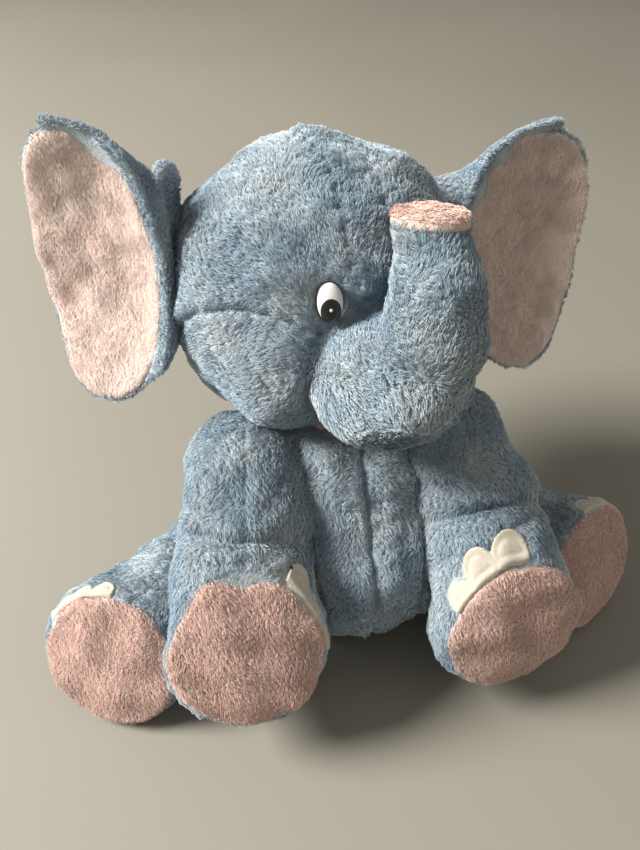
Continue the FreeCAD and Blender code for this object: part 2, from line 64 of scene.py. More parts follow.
# ---- driving dimensions, millimetres ----
PILE = 2.4  # length of the blue pile
FACE_DENSITY = 3.4  # strands per square millimetre on the head and trunk
BODY_DENSITY = 3.2  # on the body, sleeves and soles
SMALL_DENSITY = 2.6  # on the lip and tail
BACKING_INSET = 1.6  # the woven backing under the pile, inside the pressed skin
VELOUR = 1.2  # pile of the ear linings
PAD_PILE = 1.6  # pile of the soles
SEAM_DEPTH = 2.2
SEAM_WIDTH = 1.9
EYE_RIM = (7.9, 5.4)  # half height and half width of each moulded oval of the eye
EYE_WHITE = (7.4, 4.9)
PUPIL = (4.6, 4.0)
GLINT = (0.75, 0.75)
PUPIL_DROP = 2.9  # of the pupil below the middle of the white
GLINT_DROP = 2.6
WHITE_SINK = 1.0  # how far the white's foot lies inside the head
WHITE_RISE = 2.4

HEAD_RADII = (72.5, 69.0, 68.0)
HEAD_SHIFT = 2.5  # of the soft head to its left, from the ball inside it
CHEEK_RADIUS = 22.0
CHEEK_PLACE = (31, -31, -31)  # in the head's own frame, mirrored for the other side
CHEEK_SEAM_MIDDLE = (38, -30, -46)
CHEEK_SEAM_ANGLE = math.radians(42)  # of the ring of seam round that middle
NECK_RADIUS = 18.0
NECK_HALF_HEIGHT = 8.0
TIP_PAD_RADIUS = 14.5
TIP_PAD_CROWN = 2.4
SHOULDER_LIFT = (0, 2.0, 5.0)
ARM_RADII = (29.0, 28.0, 37.0)
LEG_RADII = (25.0, 26.0, 37.0)
SOLE_DEPTH = 10.0  # the foot ball's centre behind its sole
SOLE_PUFF = 4.5
TOE_RADIUS = 7.2
TOE_SPREAD = math.radians(20)
TOE_TURN = {"arm_right": 62, "arm_left": -25, "leg_right": -35, "leg_left": 35}  # degrees round the foot
BEND_FROM_ROOT = {
    "arm_right": (-8, -26, -18),
    "arm_left": (12, -27.4, -21.4),
    "leg_right": (-37, -28, -3),
    "leg_left": (39, -24, -3),
}
EAR_HALF_LENGTH = 58.0
EAR_HALF_WIDTH = {"right": 31.0, "left": 34.0}
EAR_FULLNESS = 2.3  # 2 is a plain oval, more is squarer
EAR_BOWL_RADIUS = 80.0
WEB_HALF_THICKNESS = 3.2  # of the blue sheet between the head and the ear's rim
WEB_BELOW = 36  # how far that sheet runs below the ear's middle
EAR_SHIFT = 3.0  # of the soft ear towards the head
EAR_CURL = {"right": 8.0, "left": 5.0}  # how far the rim beside the head stands forward of the bowl
EAR_TWIST = {"right": 0.12, "left": 0.10}  # lean of the ear's top towards the head
EAR_FACING = {"right": 0.0, "left": 0.18}  # turn of the opening towards the head


# ---- the frame's own places ----
def unit(vector):
    vector = np.asarray(vector, float)
    return vector / np.linalg.norm(vector)


def across(vector, axis):
    """The part of a vector square to an axis, as a unit vector."""
    return unit(vector - axis * np.dot(vector, axis))


JOINTS = {joint["name"]: joint for joint in frame["joints"]}


def pivot(joint):
    return np.array(JOINTS[joint]["pos_m"]) / MM


def axis_of(joint):
    return unit(JOINTS[joint]["axis"])


def middle(node):
    low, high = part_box(node)
    return np.array((low + high) / 2) / MM


def triangles_of(node):
    mesh = frame["nodes"][node].data
    mesh.calc_loop_triangles()
    corners = np.empty(len(mesh.loop_triangles) * 3, np.int32)
    mesh.loop_triangles.foreach_get("vertices", corners)
    places = np.empty(len(mesh.vertices) * 3, np.float32)
    mesh.vertices.foreach_get("co", places)
    return places.reshape(-1, 3)[corners.reshape(-1, 3)].astype(float) / MM


def lie_of(node):
    """A CAD node's middle and its long, broad and thin axes, by surface area."""
    corners = triangles_of(node)
    weights = np.linalg.norm(np.cross(corners[:, 1] - corners[:, 0], corners[:, 2] - corners[:, 0]), axis=1)
    centres = corners.mean(axis=1)
    centre = (centres * weights[:, None]).sum(axis=0) / weights.sum()
    spread = centres - centre
    _, vectors = np.linalg.eigh((spread * weights[:, None]).T @ spread)
    return centre, vectors[:, 2], vectors[:, 1], vectors[:, 0]


HEAD = pivot("head_nod")
HEAD_X = -axis_of("head_nod")
HEAD_FACE = across((middle("eye_white_right") + middle("eye_white_left")) / 2 - HEAD, HEAD_X)
HEAD_UP = np.cross(HEAD_X, -HEAD_FACE)
HEAD_AXES = np.stack([HEAD_X, -HEAD_FACE, HEAD_UP])


def on_head(x, y, z):
    """A point in the head's own upright frame, face towards -Y."""
    return HEAD + x * HEAD_X - y * HEAD_FACE + z * HEAD_UP


def in_head(points):
    return (points - HEAD) @ HEAD_AXES.T


# ---- distance fields ----
def smooth_min(a, b, width):
    share = np.maximum(width - np.abs(a - b), 0.0) / width
    return np.minimum(a, b) - share * share * width / 4


def smooth_max(a, b, width):
    return -smooth_min(-a, -b, width)


def ball(points, centre, radius):
    return np.linalg.norm(points - np.asarray(centre, float), axis=1) - radius


def egg(points, centre, axes, radii):
    local = (points - centre) @ np.stack(axes).T / radii
    share = np.linalg.norm(local, axis=1)
    slope = np.linalg.norm(local / radii, axis=1)
    return share * (share - 1) / np.maximum(slope, 1e-6)


def round_cone(points, start, start_radius, end, end_radius):
    along = end - start
    share = np.clip((points - start) @ along / (along @ along), 0, 1)
    nearest = start + share[:, None] * along
    return np.linalg.norm(points - nearest, axis=1) - (start_radius + (end_radius - start_radius) * share)


def tube(points, stations, width):
    """A stuffed tube through (centre, radius) stations, its sections melted together."""
    total = None
    for (a, ra), (b, rb) in zip(stations[:-1], stations[1:]):
        part = round_cone(points, a, ra, b, rb)
        total = part if total is None else smooth_min(total, part, width)
    return total


def off_table_level(points):
    """Distance below the lowest level that a soft skin may have."""
    return -points[:, 2] + TABLE_GAP


def brushed(direction):
    """A comb that lays all the pile one way."""
    return lambda points: np.broadcast_to(np.asarray(direction, float), points.shape)


def above(points, place, normal):
    """Distance past a plane, on the side that its normal points to."""
    return (points - place) @ normal


def round_axis(points, place, normal):
    """Height along an axis and distance from it."""
    height = above(points, place, normal)
    return height, np.linalg.norm(points - place - height[:, None] * normal, axis=1)


def ripple(points, wavelength, seed, count=7):
    """Smooth even unevenness with a spread of about one."""
    draws = np.random.default_rng(seed)
    total = np.zeros(len(points))
    for _ in range(count):
        direction = unit(draws.normal(size=3))
        pace = 2 * math.pi / (wavelength * draws.uniform(0.7, 1.4))
        total += np.sin(points @ direction * pace + draws.uniform(0, 2 * math.pi))
    return total / math.sqrt(count / 2)


def ripples(points, wavelength, seed):
    return np.stack([ripple(points, wavelength, seed + i) for i in range(3)], axis=1)


def groove(distance, depth=SEAM_DEPTH, width=SEAM_WIDTH):
    return depth * np.exp(-(distance / width) ** 2)


def pucker(points, distance, seed):
    """Little gathers along a seam."""
    return 0.45 * ripple(points, 6.0, seed) * np.exp(-(distance / 5.0) ** 2)


def stitched(points, distance, seed, depth=SEAM_DEPTH):
    return groove(distance, depth) + pucker(points, distance, seed)


def lumps(points, seed, depth=0.7):
    """The stuffing's own unevenness, broad and fine."""
    return depth * ripple(points, 34.0, seed) + 0.3 * depth * ripple(points, 13.0, seed + 1)


# ---- meshing a field ----
def sampled(field, low, counts, step):
    xs, ys, zs = (low[i] + step * np.arange(counts[i]) for i in range(3))
    y_grid, z_grid = np.meshgrid(ys, zs, indexing="ij")
    layer = np.stack([np.zeros(y_grid.size), y_grid.ravel(), z_grid.ravel()], axis=1)
    inside = np.empty(counts, bool)
    for i, x in enumerate(xs):
        layer[:, 0] = x
        inside[i] = (field(layer) < 0).reshape(counts[1], counts[2])
    return inside


def surface_net(field, low, high, step):
    """Points and quads of a field's closed zero surface, one point per crossed cell."""
    low = np.asarray(low, float)
    counts = np.ceil((np.asarray(high) - low) / step).astype(int) + 1
    inside = sampled(field, low, counts, step)
    corners = sum(
        inside[i : counts[0] - 1 + i, j : counts[1] - 1 + j, k : counts[2] - 1 + k].astype(np.int8)
        for i in (0, 1) for j in (0, 1) for k in (0, 1)
    )
    crossed = (corners > 0) & (corners < 8)
    number = np.full(crossed.shape, -1, np.int64)
    number[crossed] = np.arange(crossed.sum())
    points = low + (np.argwhere(crossed) + 0.5) * step
    quads = []
    for axis in range(3):
        u, v = (axis + 1) % 3, (axis + 2) % 3
        first = np.take(inside, range(counts[axis] - 1), axis)
        second = np.take(inside, range(1, counts[axis]), axis)
        edge = np.argwhere(first != second)
        good = (edge[:, u] > 0) & (edge[:, v] > 0)
        good &= (edge[:, u] < counts[u] - 1) & (edge[:, v] < counts[v] - 1)
        edge = edge[good]
        rising = first[tuple(edge.T)]
        ring = []
        for du, dv in ((1, 1), (0, 1), (0, 0), (1, 0)):
            cell = edge.copy()
            cell[:, u] -= du
            cell[:, v] -= dv
            ring.append(number[tuple(cell.T)])
        quad = np.stack(ring, axis=1)
        quad[~rising] = quad[~rising][:, ::-1]
        quads.append(quad)
    return points, np.concatenate(quads)


def slope_of(field, points, reach=0.4):
    value = field(points)
    slope = np.empty_like(points)
    for axis in range(3):
        shifted = points.copy()
        shifted[:, axis] += reach
        slope[:, axis] = (field(shifted) - value) / reach
    return value, slope


def gathered(numbers, values, count):
    """Sums of the values that share a number, column by column."""
    return np.stack([np.bincount(numbers, values[:, c], count) for c in range(values.shape[1])], axis=1)


def relaxed(points, quads, share=0.5):
    total = np.zeros_like(points)
    uses = np.zeros(len(points))
    for a, b in ((0, 1), (1, 2), (2, 3), (3, 0)):
        for start, end in ((a, b), (b, a)):
            total += gathered(quads[:, start], points[quads[:, end]], len(points))
            uses += np.bincount(quads[:, start], minlength=len(points))
    return points + share * (total / uses[:, None] - points)


def skin_of(field, low, high, step=GRID, rounds=3):
    """The closed skin of a field: its net, settled onto the surface."""
    points, quads = surface_net(field, low, high, step)
    for _ in range(rounds):
        points = relaxed(points, quads)
        value, slope = slope_of(field, points)
        size = np.maximum((slope ** 2).sum(axis=1), 0.05)
        move = slope * (value / size)[:, None]
        length = np.linalg.norm(move, axis=1, keepdims=True)
        points = points - move * np.minimum(1, step / np.maximum(length, 1e-9))
    return points, quads


def linked(name, data):
    thing = bpy.data.objects.new(name, data)
    bpy.context.scene.collection.objects.link(thing)
    return thing


def as_mesh(name, points, faces, material):
    mesh = bpy.data.meshes.new(name)
    mesh.from_pydata(points * MM, [], faces.tolist() if hasattr(faces, "tolist") else faces)
    mesh.polygons.foreach_set("use_smooth", np.ones(len(mesh.polygons), bool))
    mesh.materials.append(material)
    mesh.update()
    return linked(name, mesh)


def as_piece(piece, body, nodes):
    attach(piece, body)
    if nodes:
        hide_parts(*nodes)
    return piece


def sewn_skin(name, field, cloth, body, nodes, step=GRID, margin=9.0, around=None):
    """One skin of a named cloth, on its body, standing for its CAD nodes.

    It encloses the points around, or else its nodes' boxes, with a margin.
    """
    around = np.asarray(corners_of(*nodes) if around is None else around, float)
    skin = skin_of(field, around.min(axis=0) - margin, around.max(axis=0) + margin, step)
    return as_piece(as_mesh(name, *skin, CLOTHS[cloth][0]), body, nodes), skin, cloth


def corners_of(*nodes):
    """The boxes' corners of some CAD nodes, to enclose a field."""
    return [np.array(corner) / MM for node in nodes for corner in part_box(node)]


# ---- materials ----
def linear(red, green, blue):
    def channel(value):
        value /= 255
        return value / 12.92 if value <= 0.04045 else ((value + 0.055) / 1.055) ** 2.4
    return channel(red), channel(green), channel(blue), 1.0


def shade(colour, share):
    return tuple(min(1.0, c * share) for c in colour[:3]) + (1.0,)


class Nodes:
    """Short names for building one material's node tree."""

    def __init__(self, name):
        self.material = bpy.data.materials.new(name)
        self.material.use_nodes = True
        self.tree = self.material.node_tree
        self.shader = self.tree.nodes["Principled BSDF"]

    def add(self, kind, **values):
        node = self.tree.nodes.new(kind)
        for key, value in values.items():
            if key in node.inputs:
                node.inputs[key].default_value = value
            else:
                setattr(node, key, value)
        return node

    def link(self, start, end):
        self.tree.links.new(start, end)

    def place(self):
        return self.add("ShaderNodeTexCoord").outputs["Object"]

    def noise(self, scale, detail=2.0, roughness=0.55, place=None):
        node = self.add("ShaderNodeTexNoise", Scale=scale, Detail=detail, Roughness=roughness)
        self.link(place or self.place(), node.inputs["Vector"])
        return node.outputs["Fac"]

    def ramp(self, value, low, high, start=0.3, end=0.7):
        node = self.add("ShaderNodeValToRGB")
        node.color_ramp.elements[0].position = start
        node.color_ramp.elements[0].color = low
        node.color_ramp.elements[1].position = end
        node.color_ramp.elements[1].color = high
        self.link(value, node.inputs["Fac"])
        return node.outputs["Color"]

    def mix(self, kind, first, second, factor=0.5):
        node = self.add("ShaderNodeMix", data_type="RGBA", blend_type=kind)
        for socket, value in ((node.inputs[0], factor), (node.inputs[6], first), (node.inputs[7], second)):
            if isinstance(value, (int, float, tuple)):
                socket.default_value = value
            else:
                self.link(value, socket)
        return node.outputs[2]

    def bump(self, height, strength, distance):
        node = self.add("ShaderNodeBump", Strength=strength, Distance=distance)
        self.link(height, node.inputs["Height"])
        return node.outputs["Normal"]

    def paint(self, colour=None, normal=None, **values):
        for key, value in values.items():
            self.shader.inputs[key.replace("_", " ")].default_value = value
        if colour is not None:
            self.link(colour, self.shader.inputs["Base Color"])
        if normal is not None:
            self.link(normal, self.shader.inputs["Normal"])
        return self.material


BLUE = linear(154, 178, 196)
BLUE_PALE = linear(204, 216, 222)
EAR_PINK = linear(238, 222, 214)
PAD_PINK = linear(218, 190, 180)
CREAM = linear(200, 195, 180)


def backing(name, colour, pale, patch=26.0, grain=900.0):
    """Cloth under the pile: broad brushed patches, fine tufts and a pile grain."""
    nodes = Nodes(name)
    broad = nodes.ramp(nodes.noise(1000 / patch, 3.0), colour, pale, 0.35, 0.75)
    fine = nodes.ramp(nodes.noise(260.0, 4.0, 0.7), shade(colour, 0.62), pale, 0.25, 0.8)
    tone = nodes.mix("MIX", broad, fine, 0.5)
    height = nodes.noise(grain, 3.0, 0.7)
    return nodes.paint(
        tone, nodes.bump(height, 0.9, 0.0012), Roughness=0.95, Sheen_Weight=0.35, Sheen_Roughness=0.6,
        Specular_IOR_Level=0.15,
    )


def strands(name, colour, pale, root_shade_share=0.45, patch=26.0):
    """Pile strands: painted shade darkening each towards its root and a little painted light at its tip,
    with brushed patches and each tuft its own tone.
    """
    nodes = Nodes(name)
    broad = nodes.ramp(nodes.noise(1000 / patch, 3.0), colour, pale, 0.38, 0.72)
    tuft = nodes.add("ShaderNodeAttribute", attribute_name="tone").outputs["Fac"]
    own_tone = nodes.ramp(tuft, (0.72, 0.75, 0.78, 1), (1.14, 1.12, 1.10, 1), 0.0, 1.0)
    toned = nodes.mix("MULTIPLY", broad, own_tone, 1.0)
    height = nodes.add("ShaderNodeHairInfo").outputs["Intercept"]
    # painted shade: each strand's colour is darkened towards its root, where the pile shades itself, and
    # lifted a little at its tip
    painted_root_shade = (root_shade_share, root_shade_share, root_shade_share * 1.06, 1)
    depth = nodes.ramp(height, painted_root_shade, (1.08, 1.07, 1.06, 1), 0.0, 0.9)
    tone = nodes.mix("MULTIPLY", toned, depth, 1.0)
    return nodes.paint(
        tone, Roughness=0.8, Sheen_Weight=0.25, Sheen_Roughness=0.5, Specular_IOR_Level=0.2,
    )


def felt():
    nodes = Nodes("cream_felt_cloth")
    fibres = nodes.noise(1400.0, 6.0, 0.8)
    tone = nodes.ramp(nodes.noise(220.0, 4.0, 0.7), shade(CREAM, 0.84), CREAM, 0.3, 0.7)
    return nodes.paint(tone, nodes.bump(fibres, 0.8, 0.0006), Roughness=0.95, Sheen_Weight=0.3)


def plastic(name, colour, roughness):
    nodes = Nodes(name)
    smooth, worn = (roughness,) * 3 + (1,), (roughness * 1.9,) * 3 + (1,)
    scuffs = nodes.ramp(nodes.noise(420.0, 5.0, 0.75), smooth, worn)
    tone = nodes.ramp(nodes.noise(90.0, 2.0), colour, shade(colour, 0.93))
    material = nodes.paint(tone, Specular_IOR_Level=0.5, Coat_Weight=0.35, Coat_Roughness=0.08)
    nodes.link(scuffs, nodes.shader.inputs["Roughness"])
    return material


# each cloth's backing and its pile, by the record's material slot; a pile's fourth number sets how dark the
# painted shade at its roots is
CLOTHS = {
    "blue_plush": (
        backing("blue_plush_backing", shade(BLUE, 0.8), BLUE_PALE),
        strands("blue_plush_pile", BLUE, BLUE_PALE),
    ),
    "pink_velour": (
        backing("pink_velour_backing", EAR_PINK, shade(EAR_PINK, 1.08), 30.0, 1400.0),
        strands("pink_velour_pile", EAR_PINK, shade(EAR_PINK, 1.1), 0.7, 30.0),
    ),
    "pink_plush": (
        backing("pink_plush_backing", PAD_PINK, shade(PAD_PINK, 1.12), 18.0, 1100.0),
        strands("pink_plush_pile", PAD_PINK, shade(PAD_PINK, 1.16), 0.6, 18.0),
    ),
    "cream_felt": (felt(), None),
}
BLACK = plastic("black_moulding", linear(16, 16, 18), 0.28)
WHITE = plastic("white_moulding", linear(226, 226, 222), 0.25)
CLEAR = plastic("washer_moulding", linear(205, 208, 210), 0.3)


# ---- pile ----
def skin_normals(points, quads):
    first = points[quads[:, 2]] - points[quads[:, 0]]
    second = points[quads[:, 3]] - points[quads[:, 1]]
    facing = np.cross(first, second)
    normals = np.zeros_like(points)
    for corner in range(4):
        normals += gathered(quads[:, corner], facing, len(points))
    return normals / np.maximum(np.linalg.norm(normals, axis=1, keepdims=True), 1e-9)


def scattered(skin, density, seed):
    """Random roots over a skin with their normals; density is strands per square millimetre."""
    points, quads = skin
    normals = skin_normals(points, quads)
    corners = np.concatenate([quads[:, [0, 1, 2]], quads[:, [0, 2, 3]]])
    edge = points[corners[:, 1]] - points[corners[:, 0]]
    other = points[corners[:, 2]] - points[corners[:, 0]]
    area = np.linalg.norm(np.cross(edge, other), axis=1) / 2
    draws = np.random.default_rng(seed)
    count = int(area.sum() * density * PILE_SHARE)
    chosen = draws.choice(len(corners), count, p=area / area.sum())
    a, b = draws.random(count), draws.random(count)
    flip = a + b > 1
    a[flip], b[flip] = 1 - a[flip], 1 - b[flip]
    weights = np.stack([1 - a - b, a, b], axis=1)[:, :, None]
    roots = (points[corners[chosen]] * weights).sum(axis=1)
    out = (normals[corners[chosen]] * weights).sum(axis=1)
    return roots, out / np.linalg.norm(out, axis=1, keepdims=True), draws


def tufts_of(roots, size, seed):
    """A tuft number per root, on a warped grid so that no rows show."""
    warp = ripples(roots, size * 4, seed) * size * 0.7
    cell = np.floor((roots + warp) / size).astype(np.int64)
    key = (cell[:, 0] * 73856093) ^ (cell[:, 1] * 19349663) ^ (cell[:, 2] * 83492791)
    return np.unique(key, return_inverse=True)[1]


def tuft_mean(values, tuft, count):
    return gathered(tuft, values, count) / np.bincount(tuft, minlength=count)[:, None]


def grow_pile(sewn, length, density, seed, comb, keep=None, lean=0.85, tuft=1.9, thick=0.12, wild=0.8):
    """Pile on a sewn skin. comb(points) gives its direction; keep(points) a share of its length."""
    piece, skin, cloth = sewn
    roots, out, draws = scattered(skin, density, seed)
    share = np.ones(len(roots)) if keep is None else keep(roots)
    stay = share > 0.06
    roots, out, share = roots[stay], out[stay], share[stay]
    tuft_number = tufts_of(roots, tuft, seed)
    tufts = tuft_number.max() + 1
    lay = comb(roots)
    swirl = ripples(roots, 30.0, seed + 20) * 0.55
    tuft_swirl = draws.normal(size=(tufts, 3))[tuft_number] * 0.33
    lay = lay + wild * (swirl + tuft_swirl + draws.normal(size=roots.shape) * 0.16)
    lay -= out * (lay * out).sum(axis=1, keepdims=True)
    lay /= np.maximum(np.linalg.norm(lay, axis=1, keepdims=True), 0.3)
    size = length * share * draws.uniform(0.75, 1.1, len(roots))
    size = size * draws.uniform(0.8, 1.15, tufts)[tuft_number]
    tip = roots + (out * (1 - 0.35 * lean) + lay * lean) * size[:, None]
    tuft_tip = tuft_mean(tip, tuft_number, tufts)[tuft_number]
    gather = wild * draws.uniform(0.25, 0.6, tufts)[tuft_number][:, None]
    tip = tip + (tuft_tip - tip) * gather
    rise = roots + out * (size * 0.55)[:, None]
    share_along = np.linspace(0, 1, STRAND_POINTS)[None, :, None]
    line = (
        roots[:, None] * (1 - share_along) ** 2
        + rise[:, None] * 2 * share_along * (1 - share_along)
        + tip[:, None] * share_along ** 2
    )
    line[:, 0] -= out * 0.5
    curves = bpy.data.hair_curves.new(piece.name + "_pile")
    curves.add_curves([STRAND_POINTS] * len(roots))
    curves.position_data.foreach_set("vector", (line * MM).astype(np.float32).ravel())
    width = thick * 1.0 * np.linspace(1.0, 0.35, STRAND_POINTS) * MM
    radius = curves.attributes.new("radius", "FLOAT", "POINT")
    radius.data.foreach_set("value", np.tile(width, len(roots)).astype(np.float32))
    tone = curves.attributes.new("tone", "FLOAT", "CURVE")
    tones = 0.55 * draws.random(tufts)[tuft_number] + 0.45 * draws.random(len(roots))
    tone.data.foreach_set("value", tones.astype(np.float32))
    curves.materials.append(CLOTHS[cloth][1])
    linked(piece.name + "_pile", curves).parent = piece


def clear_of(*fields, margin=5.0):
    """A length share that drops strands deep inside a neighbour."""
    def share(points):
        total = np.ones(len(points))
        for field in fields:
            total *= field(points) > -margin
        return total
    return share


def times(*shares):
    def share(points):
        total = np.ones(len(points))
        for one in shares:
            total = total * one(points)
        return total
    return share


def short_near(distance_of, width=2.4, least=0.25):
    """Pile is caught short in a seam."""
    return lambda points: 1 - (1 - least) * np.exp(-(distance_of(points) / width) ** 2)


# ---- head ----
def mirrored(place, sign):
    return np.array((sign * place[0], place[1], place[2]), float)


def cheek_seam_distance(points):
    """The cheek seam is a ring on the head round each cheek."""
    local = in_head(points)
    outward = local / np.maximum(np.linalg.norm(local, axis=1, keepdims=True), 1e-6)
    nearest = np.full(len(points), NO_SEAM)
    for sign in SIDES.values():
        centre = unit(mirrored(CHEEK_SEAM_MIDDLE, sign))
        angle = np.arccos(np.clip(outward @ centre, -1, 1))
        nearest = np.minimum(nearest, np.abs(angle - CHEEK_SEAM_ANGLE) * HEAD_RADII[0])
    return nearest


def crown_seam_distance(points):
    local = in_head(points)
    return np.where(local[:, 2] > -20, np.abs(np.abs(local[:, 0]) - 9), NO_SEAM)


def face_folds(points):
    """Three soft folds in each cheek, running down towards the mouth."""
    local = in_head(points)
    total = np.zeros(len(points))
    for sign in SIDES.values():
        for start, end, depth in (
            ((56, -30, -22), (22, -38, -54), 2.4),
            ((52, -12, -40), (20, -26, -62), 2.0),
            ((46, -44, -20), (26, -50, -40), 1.6),
        ):
            distance = round_cone(local, mirrored(start, sign), 0.0, mirrored(end, sign), 0.0)
            total += depth * np.exp(-(distance / 4.2) ** 2)
    return total


def head_shape(points):
    local = in_head(points)
    shape = egg(local, np.array((HEAD_SHIFT, 0, 0)), np.eye(3), np.array(HEAD_RADII))
    for sign in SIDES.values():
        shape = smooth_min(shape, ball(local, mirrored(CHEEK_PLACE, sign), CHEEK_RADIUS), 16)
    for sign in SIDES.values():
        socket = np.linalg.norm(local - np.array((18 * sign, -65, 2)), axis=1)
        shape = shape + 2.0 * np.exp(-(socket / 11) ** 2)
    return shape


def head_field(points):
    seam = cheek_seam_distance(points)
    crown = crown_seam_distance(points)
    return (
        head_shape(points) + BACKING_INSET + lumps(points, 11, 0.9) + face_folds(points)
        + stitched(points, seam, 12, 2.2) + stitched(points, crown, 13, 0.5)
        + groove(trunk_shape(points) - 1.5, 3.0, 4.0)
    )


def head_comb(points):
    """The face is brushed up and outwards from the trunk."""
    away = in_head(points) - np.array((2, -60, -28))
    away /= np.maximum(np.linalg.norm(away, axis=1, keepdims=True), 1e-6)
    return away @ HEAD_AXES


def eye_clear(points):
    """No pile under an eye, and short pile beside it."""
    share = np.ones(len(points))
    for side in SIDES:
        centre, tall, broad, _ = eye_lie(side)
        place = points - centre
        ring = np.hypot(place @ tall / EYE_WHITE[0], place @ broad / EYE_WHITE[1])
        share *= np.clip((ring - 1.0) / 1.3, 0, 1) ** 0.5
    return share


HEAD_NODES = (
    "head_side_right", "head_side_left", "head_crown_gusset", "cheek_right", "cheek_left", "head_filling",
)


def make_head():
    head = sewn_skin("head_cover", head_field, "blue_plush", "head", HEAD_NODES)
    keep = times(
        clear_of(trunk_shape, torso_shape), eye_clear, short_near(cheek_seam_distance),
        short_near(crown_seam_distance, 1.6, 0.7),
    )
    grow_pile(head, PILE, FACE_DENSITY, 101, head_comb, keep)


# ---- mouth ----
def make_mouth():
    """The pink cloth in the fold under the trunk, and the blue lip below it."""
    centre = lie_of("mouth_lining")[0]
    outward = unit(centre - HEAD)

    def lining(points):
        shell = np.abs(head_shape(points) + 0.2) - 1.4
        return smooth_max(shell, ball(points, centre, 15.0), 2.0)

    lip_centre = middle("lower_lip")

    def lip(points):
        ends = [lip_centre + HEAD_X * s * 11 + HEAD_UP * (2.0 if s else 0.0) for s in (-1, 0, 1)]
        return tube(points, [(ends[0], 3.8), (ends[1], 5.2), (ends[2], 3.8)], 4.0) + 0.8

    pink = sewn_skin(
        "mouth_fold_lining", lining, "pink_plush", "head", ["mouth_lining"], 1.0, 3.0,
        [centre - 16, centre + 16],
    )
    outside = clear_of(lambda p: head_shape(p) + 4, margin=2.0)
    grow_pile(pink, PAD_PILE, 2.5, 151, brushed((0, 0, -1)), outside)
    blue = sewn_skin(
        "lower_lip_roll", lip, "blue_plush", "head", ["lower_lip"], 1.0, 3.0,
        [lip_centre - 14, lip_centre + 14],
    )
    grow_pile(blue, 3.0, SMALL_DENSITY, 152, brushed(outward))


# ---- eyes ----
def eye_lie(side):
    """An eye's place on the head: centre, tall and broad axes, and outward."""
    centre, tall, _, _ = lie_of(f"eye_white_{side}")
    outward = unit(centre - HEAD)
    tall = across(tall if tall @ HEAD_UP > 0 else -tall, outward)
    return centre, tall, np.cross(tall, outward), outward


def dome_level(x, y, half_width, half_height, sink, rise):
    """Height of a moulded oval dome over its own middle plane."""
    reach = math.hypot(x / half_width, y / half_height)
    return (rise + 0.6 * sink) * math.sqrt(max(0.0, 1 - reach ** 2)) ** 0.8 - 0.6 * sink


def cap(name, lie, half, sink, rise, material, nodes, over=None):
    """An oval dome on the head: rings from its foot over its rounded shoulder to its crown.

    over(x, y) is the level of another dome that this one lies on.
    """
    centre, tall, broad, outward = lie
    half_height, half_width = half
    rings, around = 14, 56

    def level(x, y):
        own = dome_level(x, y, half_width, half_height, sink, rise)
        return own if over is None else own + over(x, y)

    points = [centre - outward * sink]
    turns = np.linspace(math.pi / 2, 0, rings, endpoint=False)
    outline = [(1.0, True)] + [(math.sin(turn), False) for turn in turns]
    for reach, is_foot in outline:
        for step in range(around):
            turn = 2 * math.pi * step / around
            x, y = math.cos(turn) * half_width * reach, math.sin(turn) * half_height * reach
            height = -sink if is_foot else level(x, y)
            points.append(centre + broad * x + tall * y + outward * height)
    points.append(centre + outward * level(0.0, 0.0))
    faces = []
    for ring in range(len(outline) - 1):
        for step in range(around):
            a = 1 + ring * around + step
            b = 1 + ring * around + (step + 1) % around
            faces.append((a, b, b + around, a + around))
    for step in range(around):
        following = (step + 1) % around
        last = 1 + (len(outline) - 1) * around
        faces.append((0, 1 + following, 1 + step))
        faces.append((last + step, last + following, len(points) - 1))
    as_piece(as_mesh(name, np.array(points), faces, material), "head", nodes)


def make_eye(side):
    """A black rim, a white dome in it, and a pupil that lies low on the dome with one small glint."""
    centre, tall, broad, outward = eye_lie(side)
    middle_place = centre - outward
    for name, drop, half, sink, rise, material, nodes, slot in (
        ("rim", 0, EYE_RIM, 4.0, 0.6, BLACK, [f"eye_base_{side}"], "black_plastic"),
        ("dome", 0, EYE_WHITE, WHITE_SINK, WHITE_RISE, WHITE, [f"eye_white_{side}"], "white_plastic"),
        ("pupil", PUPIL_DROP, PUPIL, 0.1, 0.22, BLACK, [f"pupil_{side}"], "black_plastic"),
        ("glint", GLINT_DROP, GLINT, 0.1, 0.4, WHITE, [], "white_plastic"),
    ):
        def on_white(x, y):
            return dome_level(x, y - drop, EYE_WHITE[1], EYE_WHITE[0], WHITE_SINK, WHITE_RISE)

        lie = (middle_place - tall * drop, tall, broad, outward)
        cap(f"eye_{name}_{side}", lie, half, sink, rise, material, nodes, on_white if drop else None)


# ---- trunk ----
TRUNK_ROOT = pivot("trunk_lift")
TRUNK_BEND = pivot("trunk_curl")
TRUNK_STATIONS = [
    (TRUNK_ROOT, 24.0), (on_head(4, -64, -33), 26.0), (TRUNK_BEND, 22.5),
]
TIP_STATIONS = [
    (TRUNK_BEND, 22.0), (on_head(12, -90, -14), 18.0), (on_head(12, -93, 4), 15.5),
    (on_head(10, -90, 28), 14.5),
]
TIP_SHIFT = on_head(-5, 0, 3.5) - HEAD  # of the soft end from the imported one
PAD_LIE = lie_of("trunk_tip_pad")
PAD_PLACE = PAD_LIE[0] + TIP_SHIFT
TIP_OUT = unit((PAD_LIE[3] if PAD_LIE[3] @ HEAD_UP > 0 else -PAD_LIE[3]) + 0.3 * HEAD_FACE)
TRUNK_NODES = ("trunk_right_panel", "trunk_left_panel", "trunk_filling")
TIP_NODES = ("trunk_tip_right_panel", "trunk_tip_left_panel", "trunk_tip_filling")


def trunk_shape(points):
    return tube(points, TRUNK_STATIONS, 14)


def tip_shape(points):
    return tube(points, TIP_STATIONS, 8)


def trunk_seam_distance(points):
    """One seam runs down the trunk's left side, towards its outer curve."""
    sideways = (points - TRUNK_BEND) @ HEAD_X
    return np.where(above(points, TRUNK_BEND, HEAD_FACE) > -26, np.abs(sideways - 17.5), NO_SEAM)


